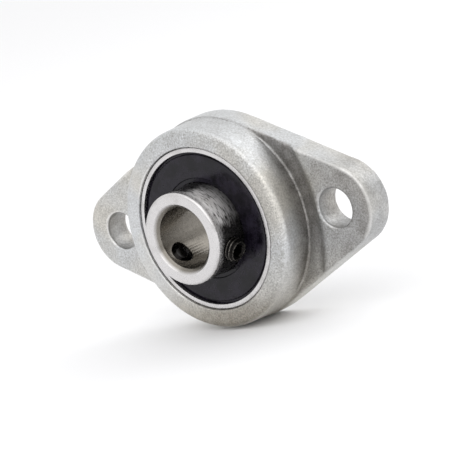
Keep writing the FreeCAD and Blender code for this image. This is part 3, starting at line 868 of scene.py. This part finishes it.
def narrow_corners(mesh, share):
    """Narrow the chamfers at the corners of the outer ring, along its end faces and its sphere."""
    places = vertex_vectors(mesh, "co")
    x, y, z = places.T
    middle = (y.min() + y.max()) / 2
    offset = y - middle
    radius = np.hypot(x, z)
    half = np.abs(offset).max()
    sphere = np.hypot(radius, offset).max()
    corner = math.sqrt(sphere**2 - half**2)
    near = (radius > CHAMFER_RADIUS * corner) & (np.abs(offset) > CHAMFER_WIDTH * half)
    on_face = near & (np.abs(offset) > half - SAME_PLACE)
    on_sphere = near & ~on_face
    wide = radius.copy()
    wide[on_face] += share * (corner - radius[on_face])
    offset[on_sphere] += share * (np.sign(offset) * half - offset)[on_sphere]
    wide[on_sphere] = np.sqrt(sphere**2 - offset[on_sphere] ** 2)
    places[:, 0] *= wide / radius
    places[:, 1] = middle + offset
    places[:, 2] *= wide / radius
    move_vertices(mesh, places)


class BEARING_OT_rings(bpy.types.Operator):
    """Narrow the corners of the outer ring and break the edges of both ground rings"""

    bl_idname = "bearing.rings"
    bl_label = "Rings"

    def execute(self, context):
        look = context.scene.bearing_insert
        steel = ground_steel(look)
        bevel = {"width": look.ring_edge, "segments": 3, "limit_method": "ANGLE", "angle_limit": RING_SHARP}
        broken_edges = [("BEVEL", bevel), ("WEIGHTED_NORMAL", {"keep_sharp": True})]
        for node, body in (("outer_ring", "insert"), ("inner_ring", "inner")):
            mesh = welded_copy(node)
            if node == "outer_ring":
                narrow_corners(mesh, look.corner_share)
            mesh = with_modifiers(mesh, broken_edges)
            mesh.shade_smooth()
            new_piece(f"{node}_finished", mesh, body, steel, [node])
        return {"FINISHED"}


def rounded(corners):
    """Points of a closed section, given as corners of (radius, height, rounding)."""
    points = []
    for at, (*corner, rounding) in enumerate(corners):
        here = Vector(corner)
        before = Vector(corners[at - 1][:2]) - here
        after = Vector(corners[(at + 1) % len(corners)][:2]) - here
        reach = min(rounding, before.length / 2, after.length / 2)
        start = here + before.normalized() * reach
        end = here + after.normalized() * reach
        steps = ROUNDING_STEPS if reach else 0
        for step in range(steps + 1):
            share = step / max(1, steps)
            points.append(start.lerp(here, share).lerp(here.lerp(end, share), share))
    return points


def seal_section(look, node):
    """Section of a moulded seal between the corners of its CAD node: rim, channel, dished face and lip."""
    ring = [vertex.co.y for vertex in frame["nodes"]["outer_ring"].data.vertices]
    middle = (min(ring) + max(ring)) / 2
    corners = [vertex.co for vertex in frame["nodes"][node].data.vertices]
    radii = {round(math.hypot(corner.x, corner.z), CAD_DIGITS) for corner in corners}
    heights = {round(abs(corner.y - middle), CAD_DIGITS) for corner in corners}
    lip, root, rim = sorted(radii)
    seat, lip_back, lip_front, face = sorted(heights)
    inside = rim - look.channel
    floor = face - look.channel_depth
    edge = look.seal_edge
    section = rounded(
        [
            (rim, seat, 0.0),
            (rim, floor, 0.0),
            (inside, floor, edge),
            (inside, face, edge),
            ((inside + root) / 2, face - look.dish, inside - root),
            (root, face, edge),
            (root, lip_front, edge / 2),
            (lip, lip_front, edge / 2),
            (lip, lip_back, edge / 2),
            (root, lip_back, 0.0),
            (root, seat, 0.0),
        ]
    )
    side = -1 if corners[0].y < middle else 1
    return [(point.x, middle + side * point.y) for point in section]


def lathe(name, section):
    """Mesh that a closed section of (radius, Y) points sweeps round the bore axis."""
    skin = bmesh.new()
    rings = []
    for step in range(SEAL_STEPS):
        turn = math.tau * step / SEAL_STEPS
        rings.append([skin.verts.new((r * math.cos(turn), y, r * math.sin(turn))) for r, y in section])
    join_rings(skin, [*rings, rings[0]])
    mesh = closed_mesh(skin, name)
    mesh.shade_smooth()
    mesh.set_sharp_from_angle(angle=SEAL_SHARP)
    return mesh


class BEARING_OT_seals(bpy.types.Operator):
    """Mould the seals, with a channel at their rims and a thin lip at the inner ring"""

    bl_idname = "bearing.seals"
    bl_label = "Seals"

    def execute(self, context):
        look = context.scene.bearing_insert
        rubber = nitrile_rubber(look)
        for node in ("front_seal", "rear_seal"):
            mesh = lathe(f"{node}_skin", seal_section(look, node))
            new_piece(f"{node}_moulded", mesh, "insert", rubber, [node])
        return {"FINISHED"}


class BEARING_OT_balls(bpy.types.Operator):
    """Finish the balls, the cage halves and the rivets"""

    bl_idname = "bearing.balls"
    bl_label = "Balls and cage"

    def execute(self, context):
        look = context.scene.bearing_insert
        for nodes, finish in ((BALLS, polished_steel(look)), (CAGE, pressed_steel(look))):
            for node in nodes:
                paint(frame["nodes"][node].data, finish)
        return {"FINISHED"}


def thread_radius(look, radius, along, turn):
    """Radius of the thread at a height along the screw and a turn round it."""
    phase = (along / look.pitch - turn / math.tau) % 1.0
    flank = (abs(2.0 * phase - 1.0) - THREAD_FLAT) / (1.0 - 2.0 * THREAD_FLAT)
    return radius - look.depth * min(1.0, max(0.0, flank))


def screw_skin(look, radius, length):
    """Mesh of a socket set screw that stands on its cup point along Z, bared at its head and crests, which
    also paints highlights there.
    """
    turns = [math.tau * step / SCREW_STEPS for step in range(SCREW_STEPS)]
    cup = look.cup / 2
    lead = look.socket / 2 / math.cos(math.pi / 6) + look.lead
    floor = length - look.socket_depth
    head = radius - look.edge
    crest = radius - CREST_SHARE * look.depth
    skin = bmesh.new()
    wear_and_highlight = []
    rings = []

    def add_ring(section):
        """Add a ring whose section gives the radius, the height and the share of bared steel, which is also
        painted highlight, at each turn.
        """
        points = [(turn, *section(turn)) for turn in turns]
        places = [(out * math.cos(turn), out * math.sin(turn), up) for turn, out, up, worn in points]
        rings.append([skin.verts.new(place) for place in places])
        wear_and_highlight.extend(worn for turn, out, up, worn in points)

    def hexagon(turn):
        """Radius of the socket's wall."""
        return look.socket / 2 / math.cos((turn + math.pi / 6) % (math.pi / 3) - math.pi / 6)

    def thread(turn, up):
        """Section of the thread between the chamfers at both ends."""
        limit = min(cup + up, radius, head + length - up)
        out = min(limit, thread_radius(look, radius, up, turn))
        return out, up, CREST_WEAR_AND_HIGHLIGHT * max(0.0, out - crest) / (radius - crest)

    for row in range(SCREW_ROWS):
        add_ring(lambda turn: thread(turn, length * row / SCREW_ROWS))
    add_ring(lambda turn: (head, length, 1.0))
    add_ring(lambda turn: (head - WEAR_LINE, length, 0.0))
    add_ring(lambda turn: (lead + WEAR_LINE, length, 0.0))
    add_ring(lambda turn: (lead, length, LEAD_WEAR_AND_HIGHLIGHT))
    add_ring(lambda turn: (lead - WEAR_LINE, length - WEAR_LINE * LEAD_SLOPE, 0.0))
    add_ring(lambda turn: (hexagon(turn), length - (lead - hexagon(turn)) * LEAD_SLOPE, 0.0))
    add_ring(lambda turn: (hexagon(turn), floor, 0.0))
    add_ring(lambda turn: (look.socket * DRILL_RADIUS, floor, 0.0))
    join_rings(skin, rings)
    drill_tip = floor - look.socket * DRILL_DEPTH
    for ring, up in ((rings[0], look.cup_depth), (rings[-1], drill_tip)):
        middle = skin.verts.new((0.0, 0.0, up))
        wear_and_highlight.append(0.0)
        for at in range(SCREW_STEPS):
            skin.faces.new((ring[at], ring[(at + 1) % SCREW_STEPS], middle))
    mesh = closed_mesh(skin, "set_screw")
    store_values(mesh, "edge", wear_and_highlight)
    return mesh


class BEARING_OT_set_screws(bpy.types.Operator):
    """Thread the set screws, with their hexagon sockets and cup points"""

    bl_idname = "bearing.set_screws"
    bl_label = "Set screws"

    def execute(self, context):
        look = context.scene.bearing_screws
        oxide = black_oxide(look)
        for node in SCREWS:
            axis = Vector(JOINTS[f"{node}_travel"]["axis"]).normalized()
            corners = [vertex.co for vertex in frame["nodes"][node].data.vertices]
            heights = [corner.dot(axis) for corner in corners]
            level = (max(corner.y for corner in corners) + min(corner.y for corner in corners)) / 2
            radius = max(corner.y for corner in corners) - level
            tip = axis * min(heights) + Vector((0.0, level, 0.0))
            mesh = screw_skin(look, radius, max(heights) - min(heights))
            mesh.transform(Matrix.Translation(tip) @ axis.to_track_quat("Z", "Y").to_matrix().to_4x4())
            mesh.set_sharp_from_angle(angle=SCREW_SHARP)
            body = node.replace("set_", "")
            new_piece(f"{node}_threaded", mesh, body, oxide, [node])
        return {"FINISHED"}


def studio_floor(stage):
    """Matt white paper: an even pale ground that takes a soft shadow."""
    material, tree, place = start_material("studio_paper")
    fibre = add_node(tree, "TexNoise", {"Vector": place, "Scale": per_mm(40.0), "Detail": 2.0})
    rough = add_node(tree, "MapRange", {"Value": fibre, "To Min": 0.85, "To Max": 0.95})
    return finish_material(material, {"Base Color": stage.floor, "Roughness": rough})


def light_tent(stage):
    """A white tent round the object, a little brighter above than at its foot."""
    world = bpy.data.worlds.new("light_tent")
    world.use_nodes = True
    tree = world.node_tree
    tree.nodes.clear()
    way = add_node(tree, "TexCoord", {}, "Generated")
    height = add_node(tree, "SeparateXYZ", {"Vector": way}, "Z")
    glow = add_node(tree, "MapRange", {"Value": height, "To Min": 0.94, "To Max": 1.1})
    tent = add_node(tree, "Background", {"Color": stage.tent, "Strength": glow})
    add_node(tree, "OutputWorld", {"Surface": tent})
    return world


def direction(azimuth, elevation):
    """The way out from the object to a place round it; azimuth 0 is in front of it."""
    level = math.cos(elevation)
    return Vector((math.sin(azimuth) * level, -math.cos(azimuth) * level, math.sin(elevation)))


def add_soft_box(name, azimuth, elevation, distance, size, power):
    """Hang a square soft box that faces the object, at angles in degrees."""
    lamp = bpy.data.lights.new(name, "AREA")
    lamp.shape = "SQUARE"
    lamp.size = size
    lamp.energy = power
    box = bpy.data.objects.new(name, lamp)
    bpy.context.scene.collection.objects.link(box)
    way = direction(math.radians(azimuth), math.radians(elevation))
    box.location = way * distance
    box.rotation_euler = way.to_track_quat("Z", "Y").to_euler()


class BEARING_OT_stage(bpy.types.Operator):
    """Set the floor, the light tent, the soft boxes and the camera"""

    bl_idname = "bearing.stage"
    bl_label = "Stage"

    def execute(self, context):
        scene = context.scene
        stage = scene.bearing_stage
        scene.view_settings.view_transform = "Standard"

        paper = bpy.data.meshes.new("floor")
        grid = bmesh.new()
        bmesh.ops.create_grid(grid, x_segments=1, y_segments=1, size=stage.floor_size / 2)
        grid.to_mesh(paper)
        grid.free()
        paint(paper, studio_floor(stage))
        floor = bpy.data.objects.new("floor", paper)
        floor.location.z = -stage.floor_drop
        scene.collection.objects.link(floor)

        scene.world = light_tent(stage)
        add_soft_box("top_box", azimuth=35, elevation=46, distance=0.5, size=0.6, power=0.8)
        add_soft_box("back_box", azimuth=158, elevation=40, distance=0.5, size=0.35, power=0.35)

        camera = bpy.data.objects.new("camera", bpy.data.cameras.new("camera"))
        camera.data.lens = stage.lens
        back = direction(stage.azimuth, stage.elevation)
        level = back.to_track_quat("Z", "Y").to_matrix().to_4x4()
        lean = Matrix.Rotation(-stage.roll, 4, "Z")
        place = Matrix.Translation(Vector(stage.aim) + back * stage.distance)
        camera.matrix_world = place @ level @ lean
        scene.collection.objects.link(camera)
        scene.camera = camera
        return {"FINISHED"}


class VIEW3D_PT_bearing(bpy.types.Panel):
    """Lists the bearing's pieces, with their sizes and colours"""

    bl_idname = "VIEW3D_PT_bearing"
    bl_label = "Flanged Bearing"
    bl_space_type = "VIEW_3D"
    bl_region_type = "UI"
    bl_category = "Bearing"

    def draw(self, context):
        for group in SETTINGS:
            settings = getattr(context.scene, group)
            box = self.layout.box()
            for name in settings.bl_rna.properties.keys():
                if name not in {"rna_type", "name"}:
                    box.prop(settings, name)
        for operator in OPERATORS:
            self.layout.operator(operator.bl_idname)


SETTINGS = {
    "bearing_casting": BearingCasting,
    "bearing_insert": BearingInsert,
    "bearing_screws": BearingScrews,
    "bearing_stage": BearingStage,
}
OPERATORS = (
    BEARING_OT_housing,
    BEARING_OT_parting_flash,
    BEARING_OT_rings,
    BEARING_OT_seals,
    BEARING_OT_balls,
    BEARING_OT_set_screws,
    BEARING_OT_stage,
)
CLASSES = (*SETTINGS.values(), *OPERATORS, VIEW3D_PT_bearing)


def register():
    """Register the classes and hang the settings on the scene."""
    for item in CLASSES:
        bpy.utils.register_class(item)
    for name, group in SETTINGS.items():
        setattr(bpy.types.Scene, name, PointerProperty(type=group))


def unregister():
    """Take the settings off the scene and the classes out again."""
    for name in SETTINGS:
        delattr(bpy.types.Scene, name)
    for item in reversed(CLASSES):
        bpy.utils.unregister_class(item)


def main():
    register()
    bpy.ops.bearing.housing()
    bpy.ops.bearing.parting_flash()
    bpy.ops.bearing.rings()
    bpy.ops.bearing.seals()
    bpy.ops.bearing.balls()
    bpy.ops.bearing.set_screws()
    bpy.ops.bearing.stage()


if __name__ == "__main__":
    main()
